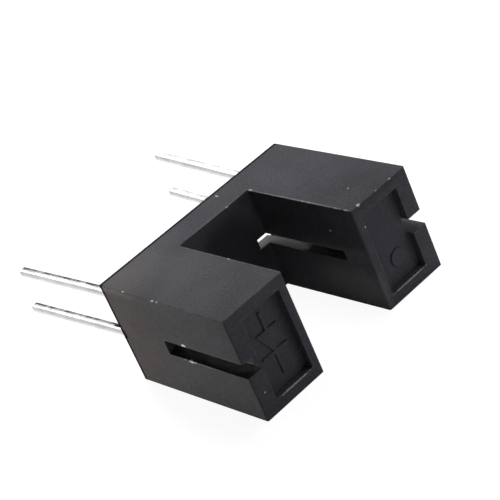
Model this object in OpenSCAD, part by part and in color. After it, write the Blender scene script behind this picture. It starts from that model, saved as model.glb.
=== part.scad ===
// Slotted optical switch: a moulded U housing that holds an infrared emitter and a phototransistor
// face to face across an open gap. It lies on one broad face, with its four leads toward +Y.
// The origin is the middle of the face that sits on the circuit board. X runs across the two arms,
// the arms reach toward -Y, and Z runs through the thickness.
// Every shape is drawn by its height above the board seat, then laid down so that height runs along -Y.

/* [Housing] */
// Width across both arms
housing_w = 13; // [12.5:0.1:16]
// Height from the board seat to the tips of the arms
housing_h = 9.8; // [9.6:0.05:14]
// Thickness between the two broad faces
housing_t = 6; // [5.8:0.1:8]
// Clear width of the gap between the arms
gap_w = 5; // [4:0.1:5.3]
// Height of the bridge that joins the arms
bridge_h = 2; // [1.8:0.1:2.6]
// Radius of the upright corners of the outline
corner_r = 0.1; // [0.05:0.05:0.3]

/* [Walls] */
// Outer wall of each arm
outer_wall = 0.9; // [0.7:0.05:1]
// Inner wall of each arm, toward the gap
inner_wall = 0.5; // [0.4:0.05:0.6]
// Walls of each arm at the broad faces
side_wall = 0.65; // [0.5:0.05:0.7]
// End wall that closes each arm under its tip
end_wall = 0.7; // [0.4:0.05:0.8]
// Floor of the gap over the hollow of the bridge
bridge_wall = 0.7; // [0.5:0.05:0.9]
// Middle web that keeps stray light from crossing under the bridge
web_w = 2.4; // [1:0.1:2.8]
// Depth of the recess in the tip of each arm
tip_recess = 0.5; // [0.3:0.05:0.6]
// Width of the rim at the outer side of that recess
tip_rim = 0.95; // [0.7:0.05:1.2]

/* [Slots] */
// Width of the aperture slit that faces the gap
slit_w = 0.58; // [0.4:0.02:1]
// Height of the top end of the aperture slit above the optical axis
slit_over_axis = 1.3; // [1:0.05:1.5]
// Length of the slit's foot, cut in the floor of the gap
slit_foot = 0.65; // [0.4:0.05:0.9]
// Width of the open slot in the outer wall of each arm
outer_slot_w = 0.86; // [0.6:0.02:1.4]
// Height of the lower end of the outer slot above the board seat
outer_slot_from = 3.75; // [3:0.05:5]
// Radius of the round well of the moulding gate, at the foot of the emitter arm
gate_r = 0.4; // [0.3:0.05:0.7]
// Width of the ring left open between the well and the gate's broken stub
gate_ring = 0.1; // [0.05:0.05:0.2]
// Depth of the well
gate_depth = 0.15; // [0.1:0.05:0.5]

/* [Packages] */
// Clearance between each side of a package and its pocket
package_side_gap = 0.13; // [0.03:0.01:0.3]
// Height of each package
package_h = 5.7; // [5:0.1:6]
// Taper of the package's sides from the lead plane to the front and to the back
package_draft = 0.1; // [0:0.02:0.2]
// Chamfer of the package's two top corners
package_chamfer = 0.5; // [0.2:0.1:0.8]
// Clearance between the front of a package and its pocket
package_front_gap = 0.05; // [0.02:0.01:0.2]
// Clearance between the top of a package and the end wall
package_top_gap = 0.05; // [0.02:0.01:0.3]
// Distance from the top of a package down to its optical axis
axis_drop = 1.85; // [1.8:0.05:2.2]
// Radius of the lens where it rises from the package
lens_r = 1.2; // [0.8:0.05:1.3]
// Height of the lens over the package's front
lens_rise = 1; // [0.6:0.05:1]
// Clearance between each side of the lens and its channel
lens_side_gap = 0.05; // [0.02:0.01:0.2]
// Clearance between the top of the lens and the inner wall
lens_gap = 0.1; // [0.02:0.01:0.3]
// Depth of the lens's root in the package
lens_root = 0.2; // [0.1:0.05:0.3]

/* [Leads] */
// Side of the square leads
lead_s = 0.4; // [0.3:0.05:0.5]
// Distance between the two leads of a package
lead_pitch = 2.54; // [2.4:0.02:2.6]
// Epoxy behind the lead frame
lead_back = 0.2; // [0.15:0.05:0.4]
// Outward splay of the leads below the board seat, in degrees
lead_splay = 2.5; // [0:0.5:5]
// Length of the emitter's short lead below the board seat
cathode_l = 9.35; // [3:0.05:16]
// How much longer the emitter's other lead is
anode_extra = 0.65; // [0.1:0.05:2]
// Length of the detector's short lead below the board seat
collector_l = 10.35; // [3:0.05:16]
// How much longer the detector's other lead is
emitter_extra = 0.25; // [0.1:0.05:2]

/* [Chips] */
// Side of the square emitter chip
emitter_chip_s = 0.35; // [0.25:0.05:0.5]
// Side of the square detector chip
detector_chip_s = 0.55; // [0.4:0.05:0.7]
// Thickness of both chips
chip_t = 0.2; // [0.1:0.02:0.3]
// Margin of the die pad round the larger chip
pad_margin = 0.2; // [0.1:0.05:0.3]
// How far the head of the bond post reaches past its shank toward the die pad
post_head = 0.25; // [0.1:0.05:0.3]
// Thickness of the bond wires
wire_t = 0.03; // [0.02:0.01:0.05]
// Rise of a bond wire over its chip
wire_rise = 0.25; // [0.15:0.05:0.35]
// Number of straight steps in the loop of a bond wire
wire_steps = 12; // [6:2:24]

/* [Hidden] */
$fn = 48;
// Overrun of a cut past the face that it opens
over = 0.5;

// The emitter sits in the arm at -X, the detector in the arm at +X.
EMITTER = -1;
DETECTOR = 1;

// Housing
pocket_in = gap_w / 2 + inner_wall;
pocket_out = housing_w / 2 - outer_wall;
recess_out = housing_w / 2 - tip_rim;
pocket_w = housing_t - 2 * side_wall;
pocket_h = housing_h - tip_recess - end_wall;

// Packages, all measured from the pocket that holds them
package_top = pocket_h - package_top_gap;
package_foot = package_top - package_h;
package_w = pocket_w - 2 * package_side_gap;
package_front = pocket_in + lens_gap + lens_rise;
package_t = pocket_out - package_front;
axis_h = package_top - axis_drop;
lens_ball = (lens_r * lens_r + lens_rise * lens_rise) / (2 * lens_rise);
lens_room = lens_ball + over;
channel_w = 2 * (lens_r + lens_side_gap);
seat_front = package_front - package_front_gap;
slit_top = axis_h + slit_over_axis;

// Lead frames: the die pad lies on the optical axis, and the bond post stands beside it.
frame_back = pocket_out - lead_back;
frame_front = frame_back - lead_s;
frame_mid = (frame_back + frame_front) / 2;
pad_half = detector_chip_s / 2 + pad_margin;
wire_reach = lead_pitch / 4;

// Lays a shape that is drawn by height along +Y down, so that its height runs along -Y.
module laid() {
    mirror([0, 1, 0]) children();
}

// Puts a shape drawn for the arm at +X in the arm on the given side.
module in_arm(side) {
    if (side == DETECTOR) children();
    if (side == EMITTER) mirror([1, 0, 0]) children();
}

// Extrudes an outline of (x, height) through a width that is centred in the thickness.
module through(width, level = 0) {
    translate([0, 0, level]) linear_extrude(height = width, center = true) children();
}

// Extrudes an outline of (thickness, height) across the arm, from x = from over a depth.
module across(from, depth) {
    translate([from + depth, 0, 0]) rotate([0, -90, 0]) linear_extrude(height = depth) children();
}

// Extrudes an outline of (x, -thickness) upward from a height.
module upward(from, height) {
    translate([0, from, 0]) rotate([-90, 0, 0]) linear_extrude(height = height) children();
}

// Rectangle from one corner to the opposite corner.
module span(low, high) {
    translate(low) square(high - low);
}

// The same rectangle with round corners.
module round_span(low, high, r) {
    span([low.x + r, low.y], [high.x - r, high.y]);
    span([low.x, low.y + r], [high.x, high.y - r]);
    for (x = [low.x + r, high.x - r], y = [low.y + r, high.y - r]) translate([x, y]) circle(r);
}

// Outline of the U: two arms and the bridge between them.
module u_outline() {
    for (side = [EMITTER, DETECTOR]) in_arm(side)
        round_span([gap_w / 2, 0], [housing_w / 2, housing_h], corner_r);
    span([-gap_w / 2 - corner_r, 0], [gap_w / 2 + corner_r, bridge_h]);
}

// Channel that the lens slides up, stepped into the bridge at its foot and open at the board seat.
module channel_outline() {
    span([pocket_in, -over], [seat_front + over, pocket_h]);
    span([web_w / 2, -over], [pocket_in + over, bridge_h - bridge_wall]);
}

// Aperture slit through the inner wall, with a foot through the floor of the gap.
module slit_outline() {
    span([gap_w / 2 - over, bridge_h], [pocket_in + over, slit_top]);
    span([gap_w / 2 - slit_foot, 0], [pocket_in + over, bridge_h + over]);
}

// Everything that is cut from one arm.
module arm_cuts() {
    through(pocket_w) span([seat_front, -over], [pocket_out, pocket_h]);
    through(channel_w) channel_outline();
    through(pocket_w) span([pocket_in, housing_h - tip_recess], [recess_out, housing_h + over]);
    through(slit_w) slit_outline();
    through(outer_slot_w) span([pocket_out - over, outer_slot_from], [housing_w / 2 + over, pocket_h]);
    through(outer_slot_w) span([recess_out, outer_slot_from], [housing_w / 2 + over, housing_h + over]);
}

// Ring of the well round the gate's stub, which was broken off level with the emitter arm's outer face.
module gate_well() {
    translate([-housing_w / 2 + gate_depth, 0, 0]) rotate([0, -90, 0]) difference() {
        cylinder(r = gate_r, h = gate_depth + over);
        translate([0, 0, -over]) cylinder(r = gate_r - gate_ring, h = gate_depth + 3 * over);
    }
}

module housing() {
    color([0.17, 0.17, 0.18]) laid() difference() {
        through(housing_t) u_outline();
        for (side = [EMITTER, DETECTOR]) in_arm(side) arm_cuts();
        gate_well();
    }
}

// Cross-section of a package: widest at the lead plane, tapered to its front and back.
module package_section() {
    half = package_w / 2;
    polygon([
        [package_front, half - package_draft],
        [frame_mid, half],
        [pocket_out, half - package_draft],
        [pocket_out, package_draft - half],
        [frame_mid, -half],
        [package_front, package_draft - half]
    ]);
}

// Front outline of a package, with its two top corners cut.
module package_face() {
    half = package_w / 2;
    cut = half - package_chamfer;
    polygon([
        [-half, package_foot],
        [half, package_foot],
        [half, package_top - package_chamfer],
        [cut, package_top],
        [-cut, package_top],
        [-half, package_top - package_chamfer]
    ]);
}

// Dome lens on the package's front, on the optical axis.
module lens() {
    intersection() {
        translate([package_front - lens_rise + lens_ball, axis_h, 0]) sphere(lens_ball);
        translate([package_front - lens_rise - over, axis_h - lens_room, -lens_room])
            cube([lens_rise + over + lens_root, 2 * lens_room, 2 * lens_room]);
    }
}

// A package before the metal in it is cut away.
module package_solid() {
    intersection() {
        upward(package_foot, package_h) package_section();
        across(package_front, package_t) package_face();
    }
    lens();
}

// Front outline of the short lead's frame: the shank, and the die pad on the optical axis.
module pad_frame() {
    span([lead_pitch / 2 - lead_s / 2, 0], [lead_pitch / 2 + lead_s / 2, axis_h + pad_half]);
    span([-pad_half, axis_h - pad_half], [lead_pitch / 2, axis_h + pad_half]);
}

// Front outline of the long lead's frame: the shank, with a bond post level with the optical axis.
module post_frame() {
    span([-lead_pitch / 2 - lead_s / 2, 0], [-lead_pitch / 2 + lead_s / 2, axis_h + pad_half]);
    span([-lead_pitch / 2, axis_h - pad_half], [-lead_pitch / 2 + lead_s / 2 + post_head, axis_h + pad_half]);
}

// Part of a lead below the board seat, splayed outward and cut square.
module leg_outline(length) {
    half = lead_s / 2;
    tip = [frame_mid + length * sin(lead_splay), -length * cos(lead_splay)];
    edge = half * [cos(lead_splay), sin(lead_splay)];
    polygon([[frame_mid - half, 0], [frame_mid + half, 0], tip + edge, tip - edge]);
}

module pad_lead(length) {
    across(frame_front, lead_s) pad_frame();
    through(lead_s, lead_pitch / 2) leg_outline(length);
}

module post_lead(length) {
    across(frame_front, lead_s) post_frame();
    through(lead_s, -lead_pitch / 2) leg_outline(length);
}

// Square chip on the die pad, facing the gap.
module chip(side_length) {
    translate([frame_front - chip_t, axis_h - side_length / 2, -side_length / 2])
        cube([chip_t, side_length, side_length]);
}

// One edge of a bond wire's loop, from over the chip to over the post, with the other leg's foot at the end.
function wire_edge(shift) = [
    for (i = [0:wire_steps])
        let (turn = 180 * i / wire_steps)
        [
            frame_front - chip_t - (wire_rise + shift) * sin(turn),
            wire_reach - (wire_reach + shift) * cos(turn)
        ],
    [frame_front, 2 * wire_reach + shift]
];

// Loop of gold wire from the middle of the chip to the bond post.
module bond_wire() {
    outer = wire_edge(wire_t / 2);
    inner = wire_edge(-wire_t / 2);
    count = len(inner);
    upward(axis_h - wire_t / 2, wire_t)
        polygon(concat(outer, [for (i = [count - 1:-1:0]) inner[i]]));
}

// Epoxy package cast round its lead frame, chip and bond wire.
module package(chip_side) {
    difference() {
        package_solid();
        across(frame_front, lead_s) pad_frame();
        across(frame_front, lead_s) post_frame();
        chip(chip_side);
        bond_wire();
    }
}

module emitter_body() {
    color([0.35, 0.4, 0.5, 0.6]) laid() in_arm(EMITTER) package(emitter_chip_s);
}

module emitter_anode_lead() {
    color([0.8, 0.8, 0.82]) laid() in_arm(EMITTER) post_lead(cathode_l + anode_extra);
}

module emitter_cathode_lead() {
    color([0.8, 0.8, 0.82]) laid() in_arm(EMITTER) pad_lead(cathode_l);
}

module emitter_chip() {
    color([0.3, 0.28, 0.3]) laid() in_arm(EMITTER) chip(emitter_chip_s);
}

module emitter_bond_wire() {
    color([0.85, 0.65, 0.25]) laid() in_arm(EMITTER) bond_wire();
}

module detector_body() {
    color([0.05, 0.05, 0.06]) laid() in_arm(DETECTOR) package(detector_chip_s);
}

module detector_collector_lead() {
    color([0.8, 0.8, 0.82]) laid() in_arm(DETECTOR) pad_lead(collector_l);
}

module detector_emitter_lead() {
    color([0.8, 0.8, 0.82]) laid() in_arm(DETECTOR) post_lead(collector_l + emitter_extra);
}

module detector_chip() {
    color([0.25, 0.25, 0.32]) laid() in_arm(DETECTOR) chip(detector_chip_s);
}

module detector_bond_wire() {
    color([0.85, 0.65, 0.25]) laid() in_arm(DETECTOR) bond_wire();
}

housing();
emitter_body();
emitter_anode_lead();
emitter_cathode_lead();
emitter_chip();
emitter_bond_wire();
detector_body();
detector_collector_lead();
detector_emitter_lead();
detector_chip();
detector_bond_wire();
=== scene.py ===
"""Dresses the slotted optical switch and sets it in a plain white studio.

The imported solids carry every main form. This script gives them their finishes, softens the moulded
edges, adds the raised signs in the tip recesses and the torn gate spur, and places the camera.
"""

import logging
import math
import random
from dataclasses import dataclass, field
from enum import Enum

import bmesh
import bpy
from mathutils import Matrix, Vector


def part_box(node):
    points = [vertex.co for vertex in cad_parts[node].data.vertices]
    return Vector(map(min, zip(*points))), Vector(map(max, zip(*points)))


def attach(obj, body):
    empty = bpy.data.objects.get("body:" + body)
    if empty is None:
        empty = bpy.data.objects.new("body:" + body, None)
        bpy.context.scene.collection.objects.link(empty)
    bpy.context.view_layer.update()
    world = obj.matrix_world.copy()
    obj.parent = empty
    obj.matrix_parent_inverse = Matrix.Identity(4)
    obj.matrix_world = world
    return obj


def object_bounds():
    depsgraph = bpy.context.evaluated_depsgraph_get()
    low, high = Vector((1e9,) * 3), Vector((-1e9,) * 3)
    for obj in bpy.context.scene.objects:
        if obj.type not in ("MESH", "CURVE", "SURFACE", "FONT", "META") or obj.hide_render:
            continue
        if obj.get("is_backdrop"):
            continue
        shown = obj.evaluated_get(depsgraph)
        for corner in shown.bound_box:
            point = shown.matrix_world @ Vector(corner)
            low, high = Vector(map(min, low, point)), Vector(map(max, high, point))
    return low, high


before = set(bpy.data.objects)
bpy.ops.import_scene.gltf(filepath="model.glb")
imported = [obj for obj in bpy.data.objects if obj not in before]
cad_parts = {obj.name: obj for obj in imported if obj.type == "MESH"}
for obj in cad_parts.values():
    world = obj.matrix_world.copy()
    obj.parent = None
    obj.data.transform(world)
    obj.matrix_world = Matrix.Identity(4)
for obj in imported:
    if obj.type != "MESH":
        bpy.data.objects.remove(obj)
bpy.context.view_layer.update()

MM = 0.001
PER_METRE = 1.0 / MM
BODY = "root"

# Places of the factor and the two colours among a Mix node's inputs, and of the colour it puts out.
COLOUR_MIX_INPUTS = (0, 6, 7)
COLOUR_MIX_RESULT = 2
OPAQUE = 1.0
BEVEL_SAMPLES = 8

# How modifiers weld and round a piece's edges.
WELD_GAP = 0.0005 * MM
EDGE_STEPS = 2
SHARP_ANGLE = math.radians(40)

# Least and greatest radius of a torn post, as shares of what its path says.
TORN_SWING = (0.85, 1.15)

# Faces of the housing that carry marks, and a reach past all of it, in millimetres.
TOP = 3.0
NEAR_SIDE = -6.5
FAR_WALL = 2.5
TIPS = -9.8
ALL_ROUND = 60.0

Colour = tuple[float, float, float]
Place = tuple[float, float, float]
Pair = tuple[float, float]
Value = bpy.types.NodeSocket | float
Sockets = bpy.types.bpy_prop_collection

log = logging.getLogger("optical_switch")


class Arm(Enum):
    """The two arms of the housing, with the side of X on which each stands."""

    EMITTER = -1
    DETECTOR = 1


class Effect(Enum):
    """The effects that finishes share, with the name of each one's node group."""

    MOULD_GRAIN = "mould_grain"
    EDGE_RUB_AND_HIGHLIGHT = "edge_rub_and_highlight"
    PAINTED_LEAD_LIGHT = "painted_lead_light"
    FLECKS = "flecks"
    WEAR_AND_LIGHT_MARK = "wear_and_light_mark"
    DRAW_LINES = "draw_lines"


class Graph:
    """Adds nodes to one node tree and links them."""

    def __init__(self, tree: bpy.types.NodeTree) -> None:
        """Clears the tree.

        Args:
            tree: the material's, world's or group's own node tree.
        """
        self.tree = tree
        tree.nodes.clear()

    def add(self, kind: str, **settings: object) -> bpy.types.Node:
        """Adds a node.

        Args:
            kind: the node's type name, such as ShaderNodeMix.
            settings: attributes to set on it.

        Returns:
            The new node.
        """
        node = self.tree.nodes.new(kind)
        for name, value in settings.items():
            setattr(node, name, value)
        return node

    def put(self, socket: bpy.types.NodeSocket, value: object) -> None:
        """Links or sets one input.

        Args:
            socket: the input.
            value: an output socket to link, a colour without its opacity, or a plain number.
        """
        if isinstance(value, bpy.types.NodeSocket):
            self.tree.links.new(value, socket)
        elif socket.type == "RGBA":
            socket.default_value = (*value, OPAQUE)
        else:
            socket.default_value = value

    def feed(self, node: bpy.types.Node, **inputs: object) -> bpy.types.Node:
        """Links or sets a node's inputs, named with _ in place of a space.

        Args:
            node: the node whose inputs are fed.
            inputs: what to put in each of them.

        Returns:
            The same node.
        """
        for name, value in inputs.items():
            self.put(node.inputs[name.replace("_", " ")], value)
        return node

    def math(self, operation: str, first: Value, second: Value = 0.0) -> bpy.types.NodeSocket:
        """Adds a Math node.

        Args:
            operation: what it does, such as MULTIPLY.
            first: its first number or socket.
            second: its second one.

        Returns:
            The result's socket.
        """
        node = self.add("ShaderNodeMath", operation=operation)
        self.put(node.inputs[0], first)
        self.put(node.inputs[1], second)
        return node.outputs[0]

    def product(self, first: Value, second: Value) -> bpy.types.NodeSocket:
        """Returns the product of two numbers or sockets."""
        return self.math("MULTIPLY", first, second)

    def mean(self, first: Value, second: Value, share: float) -> bpy.types.NodeSocket:
        """Returns the mean of two numbers or sockets, with the first one's share of it."""
        return self.math("ADD", self.product(first, share), self.product(second, 1.0 - share))

    def vector(self, operation: str, first: bpy.types.NodeSocket, second: bpy.types.NodeSocket | None = None,
               result: str = "Vector") -> bpy.types.NodeSocket:
        """Adds a Vector Math node.

        Args:
            operation: what it does, such as SUBTRACT.
            first: its first vector.
            second: its second one, for an operation that takes two.
            result: Vector, or Value for an operation that gives a number.

        Returns:
            The result's socket.
        """
        node = self.add("ShaderNodeVectorMath", operation=operation)
        self.put(node.inputs[0], first)
        if second is not None:
            self.put(node.inputs[1], second)
        return node.outputs[result]

    def join(self, x: Value, y: Value, z: Value) -> bpy.types.NodeSocket:
        """Returns a vector of three numbers or sockets."""
        return self.feed(self.add("ShaderNodeCombineXYZ"), X=x, Y=y, Z=z).outputs[0]

    def split(self, vector: bpy.types.NodeSocket) -> Sockets:
        """Returns a vector's sockets, named X, Y and Z."""
        return self.feed(self.add("ShaderNodeSeparateXYZ"), Vector=vector).outputs

    def ramp(self, value: bpy.types.NodeSocket, start: Value, end: Value,
             low: float = 0.0, high: float = 1.0) -> bpy.types.NodeSocket:
        """Maps a value from one range to another, smoothly and clamped.

        Args:
            value: the socket to map.
            start: where the source range starts, a number or a socket.
            end: where it ends.
            low: the result at start.
            high: the result at end.

        Returns:
            The mapped value's socket.
        """
        node = self.add("ShaderNodeMapRange", interpolation_type="SMOOTHSTEP")
        self.feed(node, Value=value, From_Min=start, From_Max=end, To_Min=low, To_Max=high)
        return node.outputs[0]

    def blend(self, factor: Value, first: object, second: object) -> bpy.types.NodeSocket:
        """Mixes two colours.

        Args:
            factor: the second colour's share, a number or a socket.
            first: a colour or a colour's socket.
            second: the other one.

        Returns:
            The mixed colour's socket.
        """
        node = self.add("ShaderNodeMix", data_type="RGBA")
        for index, value in zip(COLOUR_MIX_INPUTS, (factor, first, second)):
            self.put(node.inputs[index], value)
        return node.outputs[COLOUR_MIX_RESULT]

    def millimetres(self) -> bpy.types.NodeSocket:
        """Returns the place on the object, in millimetres of the object's own frame."""
        place = self.add("ShaderNodeTexCoord").outputs["Object"]
        scale = self.add("ShaderNodeVectorMath", operation="SCALE")
        return self.feed(scale, Vector=place, Scale=PER_METRE).outputs[0]

    def noise(self, place: bpy.types.NodeSocket, scale: Value, detail: float,
              roughness: float) -> bpy.types.NodeSocket:
        """Adds a cloudy noise.

        Args:
            place: where it is read.
            scale: how many features a unit of place holds, a number or a socket.
            detail: how many finer layers it has.
            roughness: how strong they are.

        Returns:
            The noise's socket, around 0.5.
        """
        node = self.add("ShaderNodeTexNoise")
        return self.feed(node, Vector=place, Scale=scale, Detail=detail, Roughness=roughness).outputs[0]

    def cells(self, place: bpy.types.NodeSocket, scale: Value) -> Sockets:
        """Returns the sockets of a pattern of cells, with each one's Color and the Distance to its middle."""
        return self.feed(self.add("ShaderNodeTexVoronoi"), Vector=place, Scale=scale).outputs

    def flat_normal(self) -> bpy.types.NodeSocket:
        """Returns the normal of the face itself."""
        return self.add("ShaderNodeNewGeometry").outputs["True Normal"]

    def soft_normal(self, radius: Value) -> bpy.types.NodeSocket:
        """Returns the normal as it turns round sharp edges, within a radius in metres."""
        return self.feed(self.add("ShaderNodeBevel", samples=BEVEL_SAMPLES), Radius=radius).outputs[0]


@dataclass
class Effects:
    """Shader node groups that several finishes share. Each is built once, on its first use.

    A range gives the values of a noise, of a distance or of a part of a normal that become 0 and 1.
    """

    pit_range: Pair = (0.0, 0.7)
    pit_floor: float = 0.55
    cloud_range: Pair = (0.3, 0.7)
    cloud_share: float = 0.4
    speckle_range: Pair = (0.34, 0.66)
    edge_range: Pair = (0.99, 0.8)
    upper_range: Pair = (0.1, 0.6)
    rub_range: Pair = (0.42, 0.66)
    dark_line_range: Pair = (0.008, 0.045)
    level_range: Pair = (0.3, 0.7)
    break_range: Pair = (0.35, 0.58)
    break_floor: float = 0.72
    painted_reflection_range: Pair = (0.08, 0.4)
    fleck_core: float = 0.4
    ragged_range: Pair = (0.3, 0.7)
    ragged_scale: float = 9.0
    line_range: Pair = (0.3, 0.7)
    line_share: float = 0.5
    tarnish_range: Pair = (0.35, 0.65)
    tarnish_scale: float = 0.9
    built: dict[Effect, bpy.types.NodeTree] = field(default_factory=dict)

    def _open(self, effect: Effect, inputs: list[str], outputs: list[str]
              ) -> tuple[Graph, Sockets, bpy.types.Node]:
        """Starts a group.

        Args:
            effect: the effect that it makes.
            inputs: the names of the float inputs.
            outputs: the names of the float outputs.

        Returns:
            The group's graph, its inputs by name and its output node.
        """
        tree = bpy.data.node_groups.new(effect.value, "ShaderNodeTree")
        for side, labels in (("INPUT", inputs), ("OUTPUT", outputs)):
            for label in labels:
                tree.interface.new_socket(label, in_out=side, socket_type="NodeSocketFloat")
        graph = Graph(tree)
        self.built[effect] = tree
        return graph, graph.add("NodeGroupInput").outputs, graph.add("NodeGroupOutput")

    def place(self, graph: Graph, effect: Effect, **inputs: float) -> Sockets:
        """Places a group in a material with its own values.

        Args:
            graph: the material's graph.
            effect: the effect to place.
            inputs: a value for each of the group's inputs, named with _ in place of a space.

        Returns:
            The group's outputs by name, which feed the material.
        """
        makers = {
            Effect.MOULD_GRAIN: self._make_mould_grain,
            Effect.EDGE_RUB_AND_HIGHLIGHT: self._make_edge_rub_and_highlight,
            Effect.PAINTED_LEAD_LIGHT: self._make_painted_lead_light,
            Effect.FLECKS: self._make_flecks,
            Effect.WEAR_AND_LIGHT_MARK: self._make_wear_and_light_mark,
            Effect.DRAW_LINES: self._make_draw_lines,
        }
        if effect not in self.built:
            makers[effect]()
        node = graph.add("ShaderNodeGroup")
        node.node_tree = self.built[effect]
        return graph.feed(node, **inputs).outputs

    def _make_mould_grain(self) -> None:
        """Builds the grain that a mould leaves: fine pits, and broad cloudy patches of tone."""
        graph, given, out = self._open(Effect.MOULD_GRAIN, ["Pits", "Clouds"], ["Tone", "Height"])
        place = graph.millimetres()
        fine = graph.noise(place, given["Pits"], detail=3.0, roughness=0.6)
        pits = graph.ramp(graph.cells(place, given["Pits"])["Distance"], *self.pit_range, low=self.pit_floor)
        clouds = graph.noise(place, given["Clouds"], detail=3.0, roughness=0.55)
        cloudy = graph.ramp(clouds, *self.cloud_range)
        speckled = graph.ramp(fine, *self.speckle_range)
        graph.feed(out, Tone=graph.mean(cloudy, speckled, self.cloud_share), Height=graph.product(fine, pits))

    def _make_edge_rub_and_highlight(self) -> None:
        """Builds masks of edges: one of those that face up, which carries a painted highlight, and one broken
        up where they are rubbed.
        """
        graph, given, out = self._open(Effect.EDGE_RUB_AND_HIGHLIGHT, ["Radius", "Breaks"], ["Upper", "Mask"])
        soft = graph.soft_normal(given["Radius"])
        turned = graph.vector("DOT_PRODUCT", soft, graph.flat_normal(), result="Value")
        edge = graph.ramp(turned, *self.edge_range)
        upper = graph.ramp(graph.split(soft)["Z"], *self.upper_range)
        breaks = graph.noise(graph.millimetres(), given["Breaks"], detail=5.0, roughness=0.7)
        rubbed = graph.ramp(breaks, *self.rub_range)
        graph.feed(out, Upper=graph.product(edge, upper), Mask=graph.product(edge, rubbed))

    def _make_painted_lead_light(self) -> None:
        """Builds masks of a lead's painted light: a dark line on top, which is painted shade, and a pale edge
        low toward -X, which is a painted reflection.

        The line lies toward +X, and Shift widens it toward -X.
        """
        graph, given, out = self._open(
            Effect.PAINTED_LEAD_LIGHT, ["Radius", "Breaks", "Shift"], ["Mask", "Rolled"])
        soft = graph.split(graph.soft_normal(given["Radius"]))
        shifted = graph.math("ADD", soft["X"], given["Shift"])
        corner = graph.product(graph.math("MAXIMUM", shifted), graph.math("MAXIMUM", soft["Z"]))
        under = graph.product(graph.math("MINIMUM", soft["X"]), graph.math("MINIMUM", soft["Z"]))
        level = graph.ramp(graph.split(graph.flat_normal())["Z"], *self.level_range)
        line = graph.product(graph.ramp(corner, *self.dark_line_range), level)
        breaks = graph.noise(graph.millimetres(), given["Breaks"], detail=4.0, roughness=0.6)
        broken = graph.ramp(breaks, *self.break_range, low=self.break_floor)
        graph.feed(out, Mask=graph.product(line, broken), Rolled=graph.ramp(under, *self.painted_reflection_range))

    def _make_flecks(self) -> None:
        """Builds a mask of sparse round flecks of dust and whitened plastic."""
        graph, given, out = self._open(Effect.FLECKS, ["Per mm", "Share", "Size"], ["Mask"])
        cells = graph.cells(graph.millimetres(), given["Per mm"])
        chosen = graph.feed(graph.add("ShaderNodeSeparateColor"), Color=cells["Color"]).outputs[0]
        kept = graph.math("LESS_THAN", chosen, given["Share"])
        core = graph.product(given["Size"], self.fleck_core)
        graph.feed(out, Mask=graph.product(kept, graph.ramp(cells["Distance"], given["Size"], core)))

    def _make_wear_and_light_mark(self) -> None:
        """Builds a mask of one ragged mark, from its place and its reach on each axis, in millimetres. It
        serves scuffs and chips, and patches of painted light and painted shade.
        """
        graph, given, out = self._open(
            Effect.WEAR_AND_LIGHT_MARK, ["X", "Y", "Z", "Reach X", "Reach Y", "Reach Z", "Core", "Ragged"], ["Mask"])
        middle = graph.join(given["X"], given["Y"], given["Z"])
        reach = graph.join(given["Reach X"], given["Reach Y"], given["Reach Z"])
        place = graph.millimetres()
        shift = graph.vector("SUBTRACT", place, middle)
        away = graph.vector("LENGTH", graph.vector("DIVIDE", shift, reach), result="Value")
        ragged = graph.noise(place, self.ragged_scale, detail=4.0, roughness=0.65)
        swing = graph.product(graph.ramp(ragged, *self.ragged_range, low=-1.0), given["Ragged"])
        graph.feed(out, Mask=graph.ramp(graph.math("ADD", away, swing), 1.0, given["Core"]))

    def _make_draw_lines(self) -> None:
        """Builds the fine lines that stamping and drawing leave along Y, and a cloudy tarnish."""
        graph, given, out = self._open(Effect.DRAW_LINES, ["Across", "Along"], ["Tone", "Height"])
        place = graph.millimetres()
        stretch = graph.join(given["Across"], given["Along"], given["Across"])
        lines = graph.noise(graph.vector("MULTIPLY", place, stretch), 1.0, detail=4.0, roughness=0.6)
        tarnish = graph.noise(place, self.tarnish_scale, detail=4.0, roughness=0.6)
        tone = graph.mean(graph.ramp(lines, *self.line_range), graph.ramp(tarnish, *self.tarnish_range),
                          self.line_share)
        graph.feed(out, Tone=tone, Height=lines)


EFFECTS = Effects()


def new_material(name: str) -> tuple[bpy.types.Material, Graph, bpy.types.Node]:
    """Starts a material with a Principled shader.

    Args:
        name: the material's name.

    Returns:
        The material, its graph and its Principled shader.
    """
    material = bpy.data.materials.new(name)
    material.use_nodes = True
    graph = Graph(material.node_tree)
    shader = graph.add("ShaderNodeBsdfPrincipled")
    graph.feed(graph.add("ShaderNodeOutputMaterial"), Surface=shader.outputs[0])
    return material, graph, shader


@dataclass(frozen=True)
class Relief:
    """How a finish's fine relief turns its normals.

    Attributes:
        strength: the bump's strength.
        depth: what a height of 1 stands for, in metres.
        softness: how far the normals turn round sharp edges, in metres, or 0 to leave them sharp.
    """

    strength: float
    depth: float
    softness: float = 0.0

    def apply(self, graph: Graph, shader: bpy.types.Node, height: bpy.types.NodeSocket) -> None:
        """Feeds the relief to a shader's normal.

        Args:
            graph: the material's graph.
            shader: the shader that takes the normal.
            height: the relief's height, from 0 to 1.
        """
        bump = graph.add("ShaderNodeBump")
        graph.feed(bump, Height=height, Strength=self.strength, Distance=self.depth)
        if self.softness:
            graph.feed(bump, Normal=graph.soft_normal(self.softness))
        graph.feed(shader, Normal=bump.outputs[0])


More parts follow.
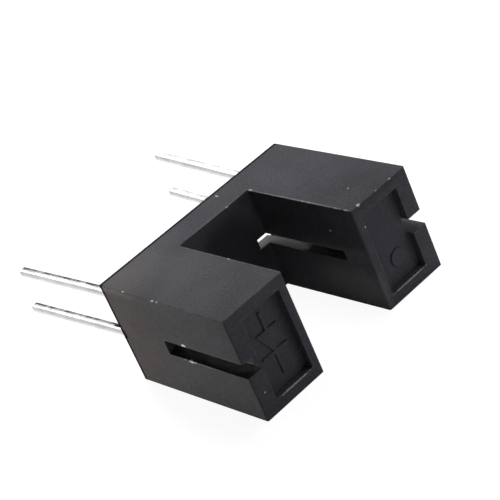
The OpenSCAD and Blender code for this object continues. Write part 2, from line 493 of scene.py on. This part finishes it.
@dataclass(frozen=True)
class WearAndLightMark:
    """One mark on the housing: a scuff, a chip, a pale edge, a patch of painted light or a patch of painted
    shade.

    Attributes:
        place: its middle, in millimetres.
        reach: its half size on each axis, in millimetres.
        weight: how far it covers the plastic's colour.
        core: the share of its reach that it covers fully, before it fades.
        ragged: how far its edge swings in and out, as a share of its reach.
    """

    place: Place
    reach: Place
    weight: float = 1.0
    core: float = 0.55
    ragged: float = 0.35

    def mask(self, graph: Graph) -> bpy.types.NodeSocket:
        """Places the scuff in a material.

        Args:
            graph: the material's graph.

        Returns:
            Its weighted mask.
        """
        (x, y, z), (across, along, up) = self.place, self.reach
        mark = EFFECTS.place(graph, Effect.WEAR_AND_LIGHT_MARK, X=x, Y=y, Z=z, Reach_X=across, Reach_Y=along, Reach_Z=up,
                             Core=self.core, Ragged=self.ragged)
        return graph.product(mark["Mask"], self.weight)


# Whitened chips and specks on the top and its edges.
TOP_CHIPS = (
    WearAndLightMark((1.6, -0.5, TOP), (0.05, 0.16, 0.1)),
    WearAndLightMark((1.0, -2.0, TOP), (0.12, 0.07, 0.06)),
    WearAndLightMark((-6.45, -1.96, TOP), (0.06, 0.09, 0.06)),
    WearAndLightMark((-6.47, -4.4, TOP), (0.05, 0.12, 0.06)),
    WearAndLightMark((-6.47, -4.75, TOP), (0.05, 0.08, 0.05)),
    WearAndLightMark((-2.5, -5.93, TOP), (0.06, 0.08, 0.05)),
    WearAndLightMark((2.55, -2.2, TOP), (0.10, 0.18, 0.06), 0.5),
    WearAndLightMark((2.52, -6.26, TOP), (0.05, 0.10, 0.05)),
    WearAndLightMark((2.53, -6.7, TOP), (0.06, 0.12, 0.05), 0.6),
    WearAndLightMark((2.53, -8.7, TOP), (0.06, 0.14, 0.05), 0.6),
    WearAndLightMark((2.53, -9.4, TOP), (0.06, 0.16, 0.05), 0.6),
    WearAndLightMark((3.08, -9.76, TOP), (0.13, 0.13, 0.10), ragged=0.2),
    WearAndLightMark((4.12, -8.04, TOP), (0.05, 0.05, 0.05)),
    WearAndLightMark((4.36, TIPS, TOP), (0.07, 0.05, 0.05)),
    WearAndLightMark((5.39, -9.78, TOP), (0.09, 0.05, 0.05)),
)
# Chips on the tips, on the gap's far wall and at the mouth of the near slot.
SIDE_CHIPS = (
    WearAndLightMark((-6.0, TIPS, -1.58), (0.05, 0.05, 0.05)),
    WearAndLightMark((-4.8, TIPS, -2.32), (0.07, 0.06, 0.05)),
    WearAndLightMark((2.97, TIPS, 1.77), (0.06, 0.05, 0.06)),
    WearAndLightMark((4.14, TIPS, -2.32), (0.08, 0.06, 0.04)),
    WearAndLightMark((FAR_WALL, -7.58, 1.48), (0.09, 0.09, 0.09), ragged=0.2),
    WearAndLightMark((NEAR_SIDE, -5.36, 0.47), (0.15, 0.17, 0.12), core=0.85, ragged=0.2),
    WearAndLightMark((NEAR_SIDE, -5.41, -0.48), (0.13, 0.20, 0.10), core=0.85, ragged=0.25),
    WearAndLightMark((NEAR_SIDE, -5.75, -0.46), (0.06, 0.06, 0.05)),
    WearAndLightMark((NEAR_SIDE, -4.95, -0.46), (0.06, 0.07, 0.05), 0.5),
)
# Long edges that are drawn pale.
PALE_EDGES = (
    WearAndLightMark((2.53, -5.9, TOP), (0.08, 4.2, 0.06), 0.22),
    WearAndLightMark((0.2, -1.97, TOP), (2.4, 0.07, 0.06), 0.1),
    WearAndLightMark((4.5, -9.78, TOP), (2.1, 0.07, 0.06), 0.04),
    WearAndLightMark((4.3, TIPS, -2.39), (1.3, 0.06, 0.06), 0.5),
    WearAndLightMark((-4.3, TIPS, -2.39), (1.3, 0.06, 0.06), 0.6),
    WearAndLightMark((NEAR_SIDE, -6.4, -0.46), (0.05, 1.3, 0.05), 0.15),
)
# Painted light: pale patches in the near slot, on the slit's wall, on the near arm's top by its base and low
# on the gap's far wall.
PAINTED_LIGHT_PATCHES = (
    WearAndLightMark((-5.8, -7.4, -0.42), (0.7, 2.5, 0.12), 0.9, 0.4, 0.1),
    WearAndLightMark((-5.8, -5.4, -0.42), (0.7, 2.6, 0.12), 0.5, 0.4, 0.1),
    WearAndLightMark((2.6, -1.2, -0.25), (0.95, 3.9, 0.1), 0.42, 0.85, 0.1),
    WearAndLightMark((2.6, -4.0, -0.25), (0.95, 1.1, 0.1), 0.5, 0.7, 0.15),
    WearAndLightMark((-5.5, -0.3, TOP), (4.5, 4.5, 0.6), 0.09, 0.0, 0.2),
    WearAndLightMark((-4.5, -3.0, TOP), (3.5, 8.0, 0.6), 0.03, 0.0, 0.2),
    WearAndLightMark((FAR_WALL, -7.8, -2.0), (0.6, 3.4, 2.2), 0.12, 0.3, 0.1),
)
# Painted shade: dark patches on a line round the base, in the gate, on the far arm's top toward its tip, on
# the bridge's face and on the gap's far wall.
PAINTED_SHADES = (
    WearAndLightMark((0.0, -0.1, 0.0), (ALL_ROUND, 0.12, ALL_ROUND), 0.9, 0.6, 0.1),
    WearAndLightMark((NEAR_SIDE, -0.14, 0.0), (0.2, 0.14, ALL_ROUND), 1.0, 0.8, 0.1),
    WearAndLightMark((-6.33, -0.2, 0.0), (0.16, 0.9, 0.9)),
    WearAndLightMark((NEAR_SIDE, 0.0, 0.3), (0.3, 0.25, 0.35)),
    WearAndLightMark((4.5, -9.5, TOP), (4.0, 5.0, 0.6), 0.25, 0.0, 0.2),
    WearAndLightMark((0.0, -2.0, 0.0), (2.8, 0.35, 3.05), 0.5, 0.6, 0.1),
    WearAndLightMark((FAR_WALL, -6.0, 1.0), (0.3, 5.0, 2.6), 0.3, 0.3, 0.1),
)
# Painted warm light at the near arm's foot.
PAINTED_WARM_LIGHTS = (
    WearAndLightMark((NEAR_SIDE, 0.0, 0.5), (5.0, 5.5, 6.0), 0.5, 0.3, 0.2),
)


@dataclass(frozen=True)
class MouldedPlastic:
    """Black housing plastic with a fine eroded grain, soft rubbed edges, light flecks and a few scuffs, and
    with painted light and shade: a highlight on edges that face up, pale patches, a warm patch and dark
    patches.
    """

    name: str = "black_moulded_plastic"
    deep: Colour = (0.058, 0.057, 0.064)
    pale: Colour = (0.079, 0.077, 0.087)
    # line and line_share: a painted highlight on the edges that face up.
    line: Colour = (0.22, 0.22, 0.225)
    line_share: float = 0.2
    rubbed: Colour = (0.24, 0.24, 0.245)
    rubbed_share: float = 0.5
    # The pale colour of flecks, chips and pale edges, and of the patches of painted light.
    fleck_and_light: Colour = (0.60, 0.60, 0.59)
    # The colour of painted shade.
    painted_shade: Colour = (0.003, 0.003, 0.003)
    # The colour of painted warm light, a brownish tint.
    painted_warm_light: Colour = (0.070, 0.056, 0.054)
    roughness: Pair = (0.75, 0.65)
    specular: float = 0.03
    relief: Relief = Relief(0.35, 0.02 * MM, softness=0.06 * MM)
    wear_and_light_marks: tuple[WearAndLightMark, ...] = ()
    painted_shades: tuple[WearAndLightMark, ...] = ()
    painted_warm_lights: tuple[WearAndLightMark, ...] = ()

    @staticmethod
    def cover(graph: Graph, under: bpy.types.NodeSocket, colour: Colour, marks: tuple[WearAndLightMark, ...],
              mask: Value = 0.0) -> bpy.types.NodeSocket:
        """Lays one colour over another where marks are.

        Args:
            graph: the material's graph.
            under: the colour that is covered.
            colour: the marks' colour.
            marks: where they are.
            mask: what else takes their colour.

        Returns:
            The colour's socket.
        """
        for mark in marks:
            mask = graph.math("MAXIMUM", mask, mark.mask(graph))
        return graph.blend(mask, under, colour)

    def build(self) -> bpy.types.Material:
        """Builds the finish.

        Returns:
            The finished material.
        """
        material, graph, shader = new_material(self.name)
        grain = EFFECTS.place(graph, Effect.MOULD_GRAIN, Pits=7.0, Clouds=0.45)
        edge = EFFECTS.place(graph, Effect.EDGE_RUB_AND_HIGHLIGHT, Radius=0.10 * MM, Breaks=2.2)
        dust = EFFECTS.place(graph, Effect.FLECKS, Per_mm=1.1, Share=0.03, Size=0.08)
        chips = EFFECTS.place(graph, Effect.FLECKS, Per_mm=3.2, Share=0.16, Size=0.35)
        light = graph.math("MAXIMUM", dust["Mask"], graph.product(chips["Mask"], edge["Mask"]))
        skin = graph.blend(grain["Tone"], self.deep, self.pale)
        # A painted highlight on the edges that face up.
        highlighted = graph.blend(graph.product(edge["Upper"], self.line_share), skin, self.line)
        worn = graph.blend(graph.product(edge["Mask"], self.rubbed_share), highlighted, self.rubbed)
        # Painted warm light.
        warmed = self.cover(graph, worn, self.painted_warm_light, self.painted_warm_lights)
        # Flecks, chips and pale edges, and patches of painted light.
        flecked_and_lit = self.cover(graph, warmed, self.fleck_and_light, self.wear_and_light_marks, light)
        # Painted shade goes on last, over every other colour.
        graph.feed(shader, Base_Color=self.cover(graph, flecked_and_lit, self.painted_shade, self.painted_shades),
                   Roughness=graph.ramp(grain["Tone"], 0.0, 1.0, *self.roughness),
                   Specular_IOR_Level=self.specular)
        self.relief.apply(graph, shader, grain["Height"])
        return material


@dataclass(frozen=True)
class TinPlate:
    """Bright tin plating on a stamped lead, with drawn lines, dull tarnish, a dark line painted as shade and
    a lower edge painted pale as a reflection.

    Attributes:
        name: the material's name.
        dull: the plating where it is tarnished.
        bright: the plating where it is clean.
        painted_reflection: the pale colour painted on the lower edge as a reflection.
        painted_dark_line: the dark colour painted along the top's edge as shade.
        dark_line_strength: how strongly that painted line shows.
        roughness: the plating's, from dull to bright.
        shadowed_roughness: the painted dark line's.
        relief: the drawn lines' relief.
    """

    name: str = "tin_plate"
    dull: Colour = (0.47, 0.47, 0.47)
    bright: Colour = (0.59, 0.59, 0.59)
    painted_reflection: Colour = (0.90, 0.90, 0.90)
    painted_dark_line: Colour = (0.02, 0.02, 0.02)
    dark_line_strength: float = 1.0
    roughness: Pair = (0.65, 0.5)
    shadowed_roughness: float = 0.85
    relief: Relief = Relief(0.12, 0.01 * MM)

    def build(self) -> bpy.types.Material:
        """Builds the finish.

        Returns:
            The finished material.
        """
        material, graph, shader = new_material(self.name)
        lines = EFFECTS.place(graph, Effect.DRAW_LINES, Across=16.0, Along=0.4)
        edge = EFFECTS.place(graph, Effect.EDGE_RUB_AND_HIGHLIGHT, Radius=0.05 * MM, Breaks=3.0)
        lead_light = EFFECTS.place(graph, Effect.PAINTED_LEAD_LIGHT, Radius=0.42 * MM, Breaks=1.4, Shift=0.1)
        plate = graph.blend(lines["Tone"], self.dull, self.bright)
        rubbed = graph.blend(edge["Mask"], plate, self.bright)
        # A painted reflection on the lower edge.
        reflected = graph.blend(lead_light["Rolled"], rubbed, self.painted_reflection)
        # A dark line painted as shade along the top's edge.
        shadowed = graph.product(lead_light["Mask"], self.dark_line_strength)
        drawn = graph.ramp(lines["Tone"], 0.0, 1.0, *self.roughness)
        graph.feed(shader, Base_Color=graph.blend(shadowed, reflected, self.painted_dark_line),
                   Roughness=graph.math("MAXIMUM", drawn, graph.product(shadowed, self.shadowed_roughness)),
                   Metallic=graph.math("SUBTRACT", 1.0, shadowed))
        self.relief.apply(graph, shader, lines["Height"])
        return material


@dataclass(frozen=True)
class TintedEpoxy:
    """Clear epoxy with a smoky tint, as cast round the emitter."""

    name: str = "smoky_epoxy"
    thin: Colour = (0.24, 0.28, 0.38)
    dense: Colour = (0.19, 0.23, 0.33)
    roughness: Pair = (0.06, 0.14)
    clearness: float = 1.0
    refraction: float = 1.53
    relief: Relief = Relief(0.08, 0.01 * MM)

    def build(self) -> bpy.types.Material:
        """Builds the finish.

        Returns:
            The finished material.
        """
        material, graph, shader = new_material(self.name)
        grain = EFFECTS.place(graph, Effect.MOULD_GRAIN, Pits=5.0, Clouds=0.5)
        graph.feed(shader, Base_Color=graph.blend(grain["Tone"], self.dense, self.thin),
                   Roughness=graph.ramp(grain["Tone"], 0.0, 1.0, *self.roughness),
                   Transmission_Weight=self.clearness, IOR=self.refraction)
        self.relief.apply(graph, shader, grain["Height"])
        return material


@dataclass(frozen=True)
class BlackEpoxy:
    """Black epoxy that passes infrared, as cast round the detector."""

    name: str = "black_epoxy"
    deep: Colour = (0.006, 0.006, 0.008)
    pale: Colour = (0.016, 0.016, 0.019)
    rubbed: Colour = (0.08, 0.08, 0.085)
    roughness: Pair = (0.18, 0.3)
    relief: Relief = Relief(0.1, 0.01 * MM)

    def build(self) -> bpy.types.Material:
        """Builds the finish.

        Returns:
            The finished material.
        """
        material, graph, shader = new_material(self.name)
        grain = EFFECTS.place(graph, Effect.MOULD_GRAIN, Pits=6.0, Clouds=0.5)
        edge = EFFECTS.place(graph, Effect.EDGE_RUB_AND_HIGHLIGHT, Radius=0.06 * MM, Breaks=2.5)
        skin = graph.blend(grain["Tone"], self.deep, self.pale)
        graph.feed(shader, Base_Color=graph.blend(edge["Mask"], skin, self.rubbed),
                   Roughness=graph.ramp(grain["Tone"], 0.0, 1.0, *self.roughness))
        self.relief.apply(graph, shader, grain["Height"])
        return material


@dataclass(frozen=True)
class ChipSurface:
    """Sawn semiconductor with cloudy oxide colour and bright sawn edges."""

    name: str
    deep: Colour
    pale: Colour
    sawn: Colour = (0.30, 0.30, 0.32)
    roughness: Pair = (0.12, 0.3)
    metal: float = 0.4
    relief: Relief = Relief(0.05, 0.005 * MM)

    def build(self) -> bpy.types.Material:
        """Builds the finish.

        Returns:
            The finished material.
        """
        material, graph, shader = new_material(self.name)
        grain = EFFECTS.place(graph, Effect.MOULD_GRAIN, Pits=14.0, Clouds=2.5)
        edge = EFFECTS.place(graph, Effect.EDGE_RUB_AND_HIGHLIGHT, Radius=0.03 * MM, Breaks=8.0)
        skin = graph.blend(grain["Tone"], self.deep, self.pale)
        graph.feed(shader, Base_Color=graph.blend(edge["Mask"], skin, self.sawn),
                   Roughness=graph.ramp(grain["Tone"], 0.0, 1.0, *self.roughness), Metallic=self.metal)
        self.relief.apply(graph, shader, grain["Height"])
        return material


@dataclass(frozen=True)
class DrawnGold:
    """Drawn gold of the bond wires."""

    name: str = "drawn_gold"
    dull: Colour = (0.72, 0.48, 0.16)
    bright: Colour = (0.92, 0.68, 0.28)
    roughness: Pair = (0.36, 0.2)
    metal: float = 1.0
    relief: Relief = Relief(0.08, 0.002 * MM)

    def build(self) -> bpy.types.Material:
        """Builds the finish.

        Returns:
            The finished material.
        """
        material, graph, shader = new_material(self.name)
        lines = EFFECTS.place(graph, Effect.DRAW_LINES, Across=40.0, Along=4.0)
        graph.feed(shader, Base_Color=graph.blend(lines["Tone"], self.dull, self.bright),
                   Roughness=graph.ramp(lines["Tone"], 0.0, 1.0, *self.roughness), Metallic=self.metal)
        self.relief.apply(graph, shader, lines["Height"])
        return material


def dress_node(name: str, material: bpy.types.Material) -> bpy.types.Object:
    """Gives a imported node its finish.

    Args:
        name: the node's name.
        material: the finish.

    Returns:
        The node's object.
    """
    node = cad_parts[name]
    node.data.materials.clear()
    node.data.materials.append(material)
    log.info("dressed %s with %s", name, material.name)
    return node


def soften_edges(piece: bpy.types.Object, width: float) -> None:
    """Rounds a piece's sharp edges by modifiers, which leave its own vertices alone.

    Args:
        piece: the object to soften.
        width: the width of the rounding, in metres.
    """
    weld = piece.modifiers.new("weld", "WELD")
    weld.merge_threshold = WELD_GAP
    bevel = piece.modifiers.new("soft_edges", "BEVEL")
    bevel.width = width
    bevel.segments = EDGE_STEPS
    bevel.limit_method = "ANGLE"
    bevel.angle_limit = SHARP_ANGLE


def new_piece(name: str, mesh: bmesh.types.BMesh, material: bpy.types.Material) -> bpy.types.Object:
    """Turns a mesh into a piece that rides on the switch.

    Args:
        name: the piece's name.
        mesh: its closed mesh, which is freed.
        material: its finish.

    Returns:
        The new object.
    """
    bmesh.ops.recalc_face_normals(mesh, faces=mesh.faces)
    data = bpy.data.meshes.new(name)
    mesh.to_mesh(data)
    mesh.free()
    data.materials.append(material)
    piece = bpy.data.objects.new(name, data)
    bpy.context.scene.collection.objects.link(piece)
    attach(piece, BODY)
    log.info("built %s, %d faces", name, len(data.polygons))
    return piece


def raised_prism(outline: list[Pair], floor: float, rise: float, root: float) -> bmesh.types.BMesh:
    """Builds a closed prism that stands out of a tip panel toward -Y.

    Args:
        outline: the sign's outline in X and Z, in metres.
        floor: the panel's place on Y.
        rise: how far the sign stands out.
        root: how far it reaches into the panel.

    Returns:
        The prism's mesh.
    """
    mesh = bmesh.new()
    face = mesh.faces.new([mesh.verts.new((x, floor + root, z)) for x, z in outline])
    grown = bmesh.ops.extrude_face_region(mesh, geom=[face])
    moved = [item for item in grown["geom"] if isinstance(item, bmesh.types.BMVert)]
    bmesh.ops.translate(mesh, verts=moved, vec=(0.0, -rise - root, 0.0))
    return mesh


def ragged_post(mesh: bmesh.types.BMesh, path: list[tuple[Vector, float]], sides: int,
                draw: random.Random) -> None:
    """Adds a closed post of torn plastic along Y.

    Args:
        mesh: the mesh that takes the post.
        path: the middle and the radius of each ring.
        sides: the corners of a ring.
        draw: the source of its raggedness.
    """
    rings = []
    for centre, radius in path:
        ring = []
        for side in range(sides):
            turn = math.tau * side / sides
            rough = radius * draw.uniform(*TORN_SWING)
            spoke = Vector((rough * math.cos(turn), 0.0, rough * math.sin(turn)))
            ring.append(mesh.verts.new(centre + spoke))
        rings.append(ring)
    for lower, upper in zip(rings, rings[1:]):
        for side in range(sides):
            other = (side + 1) % sides
            mesh.faces.new((lower[side], lower[other], upper[other], upper[side]))
    mesh.faces.new(rings[0])
    mesh.faces.new(rings[-1])


@dataclass
class Housing:
    """The moulded U: its finish, the signs in its tips and its gate spur."""

    tip_rim: float = 0.95 * MM
    inner_wall: float = 0.5 * MM
    gap: float = 5.0 * MM
    tip_recess: float = 0.5 * MM
    sign_rise: float = 0.09 * MM
    sign_root: float = 0.05 * MM
    sign_edge: float = 0.03 * MM
    stroke: float = 0.17 * MM
    stem_reach: float = 1.8 * MM
    triangle_top: float = 0.8 * MM
    triangle_half: float = 0.7 * MM
    bar_top: float = -0.42 * MM
    bar_half: float = 0.85 * MM
    disc_radius: float = 0.5 * MM
    disc_drop: float = 1.2 * MM
    disc_shift: float = 0.2 * MM
    disc_steps: int = 48
    spur_level: float = 0.34 * MM
    spur_root: float = 0.13 * MM
    spur_length: float = 0.55 * MM
    spur_radius: float = 0.065 * MM
    spur_taper: float = 0.5
    spur_taper_power: int = 8
    spur_flare: float = 0.08 * MM
    spur_flare_power: int = 3
    spur_sides: int = 9
    spur_rings: int = 8
    burr_radius: float = 0.07 * MM
    post_inset: float = 1.2
    # The spur's plastic: the housing's, painted darker as shade.
    shadowed: MouldedPlastic = MouldedPlastic(
        name="shadowed_plastic", deep=(0.008, 0.008, 0.009), pale=(0.016, 0.016, 0.017), line=(0.02, 0.02, 0.02))
    plastic: MouldedPlastic = MouldedPlastic(
        wear_and_light_marks=TOP_CHIPS + SIDE_CHIPS + PALE_EDGES + PAINTED_LIGHT_PATCHES, painted_shades=PAINTED_SHADES, painted_warm_lights=PAINTED_WARM_LIGHTS)

    def __post_init__(self) -> None:
        """Reads the housing's place from the frame and builds its finish."""
        self.low, self.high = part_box("housing")
        self.panel = self.low.y + self.tip_recess
        self.material = self.plastic.build()

    def dress(self) -> None:
        """Finishes the moulding itself."""
        dress_node("housing", self.material)

    def recess_middle(self, arm: Arm) -> float:
        """Finds the middle of a tip recess.

        Args:
            arm: the arm that has the recess in its tip.

        Returns:
            The middle's place on X.
        """
        inner = self.gap / 2 + self.inner_wall
        outer = self.high.x - self.tip_rim
        return arm.value * (inner + outer) / 2

    def raise_sign(self, name: str, outline: list[Pair]) -> None:
        """Raises a sign in a tip recess.

        Args:
            name: the sign's name.
            outline: its outline in X and Z, in metres.
        """
        mesh = raised_prism(outline, self.panel, self.sign_rise, self.sign_root)
        soften_edges(new_piece(name, mesh, self.material), self.sign_edge)

    def add_emitter_sign(self) -> None:
        """Raises a plain diode sign in the emitter arm's tip: two stems, a triangle and a bar."""
        middle = self.recess_middle(Arm.EMITTER)
        half = self.stroke / 2
        bar_foot = self.bar_top - self.stroke
        right = [
            (half, self.stem_reach), (half, self.triangle_top), (self.triangle_half, self.triangle_top),
            (half, self.bar_top), (self.bar_half, self.bar_top), (self.bar_half, bar_foot),
            (half, bar_foot), (half, -self.stem_reach),
        ]
        left = [(-x, z) for x, z in reversed(right)]
        self.raise_sign("emitter_sign", [(middle + x, z) for x, z in right + left])

    def add_detector_sign(self) -> None:
        """Raises a plain round disc in the detector arm's tip."""
        middle = self.recess_middle(Arm.DETECTOR) + self.disc_shift
        outline = []
        for step in range(self.disc_steps):
            turn = math.tau * step / self.disc_steps
            outline.append((middle + self.disc_radius * math.cos(turn),
                            self.disc_radius * math.sin(turn) - self.disc_drop))
        self.raise_sign("detector_sign", outline)

    def post_ring(self, radius: float, along: float, level: float) -> tuple[Vector, float]:
        """Places a ring of a torn post just inside the near side.

        Args:
            radius: the ring's radius.
            along: its place on Y, from the base.
            level: its height.

        Returns:
            The ring's middle and its radius.
        """
        return Vector((self.low.x + self.post_inset * radius, self.high.y + along, level)), radius

    def add_gate_spur(self) -> None:
        """Adds the torn spur of plastic at one end of the gate's ring, and the burr left in its other end."""
        draw = random.Random(7)
        mesh = bmesh.new()
        spur = []
        for step in range(self.spur_rings):
            share = step / (self.spur_rings - 1)
            slim = self.spur_radius * (1.0 - self.spur_taper * share ** self.spur_taper_power)
            radius = slim + self.spur_flare * (1.0 - share) ** self.spur_flare_power
            spur.append(self.post_ring(radius, self.spur_length * share - self.spur_root, self.spur_level))
        burr = [self.post_ring(self.burr_radius, along, -self.spur_level) for along in (-self.spur_root, 0.0)]
        for path in (spur, burr):
            ragged_post(mesh, path, self.spur_sides, draw)
        new_piece("gate_spur", mesh, self.shadowed.build())


@dataclass
class Leads:
    """The two stamped leads of one package.

    Attributes:
        names: their nodes.
        plate: their finish.
        edge_radius: how far their edges are softened.
    """

    names: tuple[str, ...]
    plate: TinPlate
    edge_radius: float = 0.03 * MM

    def dress(self) -> None:
        """Finishes the leads and takes the sharpness off their edges."""
        material = self.plate.build()
        for name in self.names:
            soften_edges(dress_node(name, material), self.edge_radius)


@dataclass
class Packages:
    """The two side-looking packages with their chips and bond wires."""

    emitter_epoxy: TintedEpoxy = TintedEpoxy()
    detector_epoxy: BlackEpoxy = BlackEpoxy()
    emitter_chip: ChipSurface = ChipSurface("emitter_die", (0.12, 0.10, 0.11), (0.24, 0.21, 0.22))
    detector_chip: ChipSurface = ChipSurface("detector_die", (0.05, 0.05, 0.12), (0.14, 0.14, 0.26))
    gold: DrawnGold = DrawnGold()

    def dress(self) -> None:
        """Finishes both packages and what is cast into them."""
        dress_node("emitter_body", self.emitter_epoxy.build())
        dress_node("detector_body", self.detector_epoxy.build())
        dress_node("emitter_chip", self.emitter_chip.build())
        dress_node("detector_chip", self.detector_chip.build())
        gold = self.gold.build()
        for name in ("emitter_bond_wire", "detector_bond_wire"):
            dress_node(name, gold)


@dataclass(frozen=True)
class Lamp:
    """A soft oblong lamp that faces the part.

    Attributes:
        name: the lamp's name.
        place: where it hangs, in millimetres.
        size: its width and height, in millimetres.
        level: how bright a white card looks that faces it at the origin.
        colour: its tint.
        mirrored: whether metal shows it beside the white studio.
    """

    name: str
    place: Place
    size: Pair
    level: float
    colour: Colour = (1.0, 1.0, 1.0)
    mirrored: bool = False

    def build(self) -> None:
        """Hangs the lamp."""
        place = Vector(self.place) * MM
        data = bpy.data.lights.new(self.name, "AREA")
        data.shape = "RECTANGLE"
        data.size, data.size_y = (side * MM for side in self.size)
        data.color = self.colour
        data.energy = self.level * math.pi ** 2 * place.length_squared
        lamp = bpy.data.objects.new(self.name, data)
        lamp.location = place
        lamp.rotation_euler = place.to_track_quat("Z", "Y").to_euler()
        lamp.visible_glossy = self.mirrored
        bpy.context.scene.collection.objects.link(lamp)


@dataclass
class Studio:
    """Plain white studio: white floor, soft light and the camera."""

    eye: Vector = field(default_factory=lambda: Vector((-43.0594, -74.3432, 45.6814)) * MM)
    right: Vector = field(default_factory=lambda: Vector((0.67935, -0.64085, -0.35748)))
    down: Vector = field(default_factory=lambda: Vector((-0.57190, -0.15714, -0.80513)))
    lens: float = 134.2
    sensor: float = 36.0
    nearest: float = 1.0 * MM
    floor_half: float = 0.6
    floor_bounce: float = 0.85
    floor_glow: float = 0.93
    floor_shade: float = 0.2
    sky: Colour = (1.0, 1.0, 1.0)
    ambient: float = 0.01
    lamps: tuple[Lamp, ...] = (
        Lamp("key_lamp", (20.0, 45.0, 42.0), (32.0, 32.0), 0.73, mirrored=True),
        Lamp("top_lamp", (16.0, -12.0, 70.0), (26.0, 26.0), 0.32, mirrored=True),
        Lamp("right_lamp", (65.0, 8.0, 8.0), (30.0, 10.0), 1.05),
        Lamp("back_wall", (28.0, 60.0, 17.0), (40.0, 30.0), 0.68),
        Lamp("side_fill", (-30.0, 22.0, -1.0), (20.0, 2.4), 0.84, (0.99, 0.985, 0.88)),
        Lamp("front_fill", (45.0, -70.0, 12.0), (30.0, 20.0), 0.1, (0.92, 0.93, 1.0)),
        Lamp("front_low", (8.0, -72.0, -1.6), (40.0, 2.2), 0.07, (0.92, 0.93, 1.0)),
    )

    @staticmethod
    def seen_directly(graph: Graph) -> bpy.types.NodeSocket:
        """Tells the rays that show the studio from those that light the object.

        Args:
            graph: the floor's or the world's graph.

        Returns:
            A socket with 1 on camera, mirror and glass rays and 0 on the others.
        """
        path = graph.add("ShaderNodeLightPath").outputs
        mirrored = graph.math("MAXIMUM", path["Is Glossy Ray"], path["Is Transmission Ray"])
        return graph.math("MAXIMUM", path["Is Camera Ray"], mirrored)

    def floor_finish(self) -> bpy.types.Material:
        """Builds the floor's finish, white to the camera with a faint shadow.

        Returns:
            The finished material.
        """
        material = bpy.data.materials.new("white_floor")
        material.use_nodes = True
        graph = Graph(material.node_tree)
        bounce = graph.feed(graph.add("ShaderNodeBsdfDiffuse"), Color=(self.floor_bounce,) * 3)
        shaded = graph.feed(graph.add("ShaderNodeBsdfDiffuse"), Color=(self.floor_shade,) * 3)
        glow = graph.feed(graph.add("ShaderNodeEmission"), Strength=self.floor_glow)
        shown = graph.add("ShaderNodeAddShader")
        graph.put(shown.inputs[0], shaded.outputs[0])
        graph.put(shown.inputs[1], glow.outputs[0])
        both = graph.feed(graph.add("ShaderNodeMixShader"), Fac=self.seen_directly(graph))
        graph.put(both.inputs[1], bounce.outputs[0])
        graph.put(both.inputs[2], shown.outputs[0])
        graph.feed(graph.add("ShaderNodeOutputMaterial"), Surface=both.outputs[0])
        return material

    def add_floor(self) -> None:
        """Lays the floor under the part."""
        low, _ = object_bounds()
        mesh = bmesh.new()
        half = self.floor_half
        corners = ((-half, -half), (half, -half), (half, half), (-half, half))
        mesh.faces.new([mesh.verts.new((x, y, low.z)) for x, y in corners])
        data = bpy.data.meshes.new("floor")
        mesh.to_mesh(data)
        mesh.free()
        floor = bpy.data.objects.new("floor", data)
        bpy.context.scene.collection.objects.link(floor)
        data.materials.append(self.floor_finish())
        floor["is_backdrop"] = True

    def add_light(self) -> None:
        """Lights the part with a dim even sky and the soft lamps round it."""
        world = bpy.data.worlds.new("white_studio")
        world.use_nodes = True
        bpy.context.scene.world = world
        graph = Graph(world.node_tree)
        strength = graph.ramp(self.seen_directly(graph), 0.0, 1.0, low=self.ambient)
        sky = graph.feed(graph.add("ShaderNodeBackground"), Color=self.sky, Strength=strength)
        graph.feed(graph.add("ShaderNodeOutputWorld"), Surface=sky.outputs[0])
        for lamp in self.lamps:
            lamp.build()

    def add_camera(self) -> None:
        """Places the camera at the photograph's point of view."""
        data = bpy.data.cameras.new("camera")
        data.lens = self.lens
        data.sensor_width = self.sensor
        data.clip_start = self.nearest
        camera = bpy.data.objects.new("camera", data)
        back = self.right.cross(-self.down)
        turn = Matrix((self.right, -self.down, back)).transposed()
        camera.matrix_world = Matrix.Translation(self.eye) @ turn.to_4x4()
        bpy.context.scene.collection.objects.link(camera)
        bpy.context.scene.camera = camera

    def build(self) -> None:
        """Builds the floor, the light and the camera."""
        bpy.context.scene.view_settings.view_transform = "Standard"
        self.add_floor()
        self.add_light()
        self.add_camera()
        log.info("studio ready")


def main() -> None:
    """Dresses the switch piece by piece and sets the studio."""
    logging.basicConfig(level=logging.INFO, format="%(name)s: %(message)s")
    housing = Housing()
    housing.dress()
    housing.add_emitter_sign()
    housing.add_detector_sign()
    housing.add_gate_spur()
    # The far leads carry a fainter painted dark line.
    faint_line_plate = TinPlate("tin_plate_faint_painted_line", dark_line_strength=0.5)
    Leads(("emitter_anode_lead", "emitter_cathode_lead"), TinPlate()).dress()
    Leads(("detector_collector_lead", "detector_emitter_lead"), faint_line_plate).dress()
    Packages().dress()
    Studio().build()


if __name__ == "__main__":
    main()
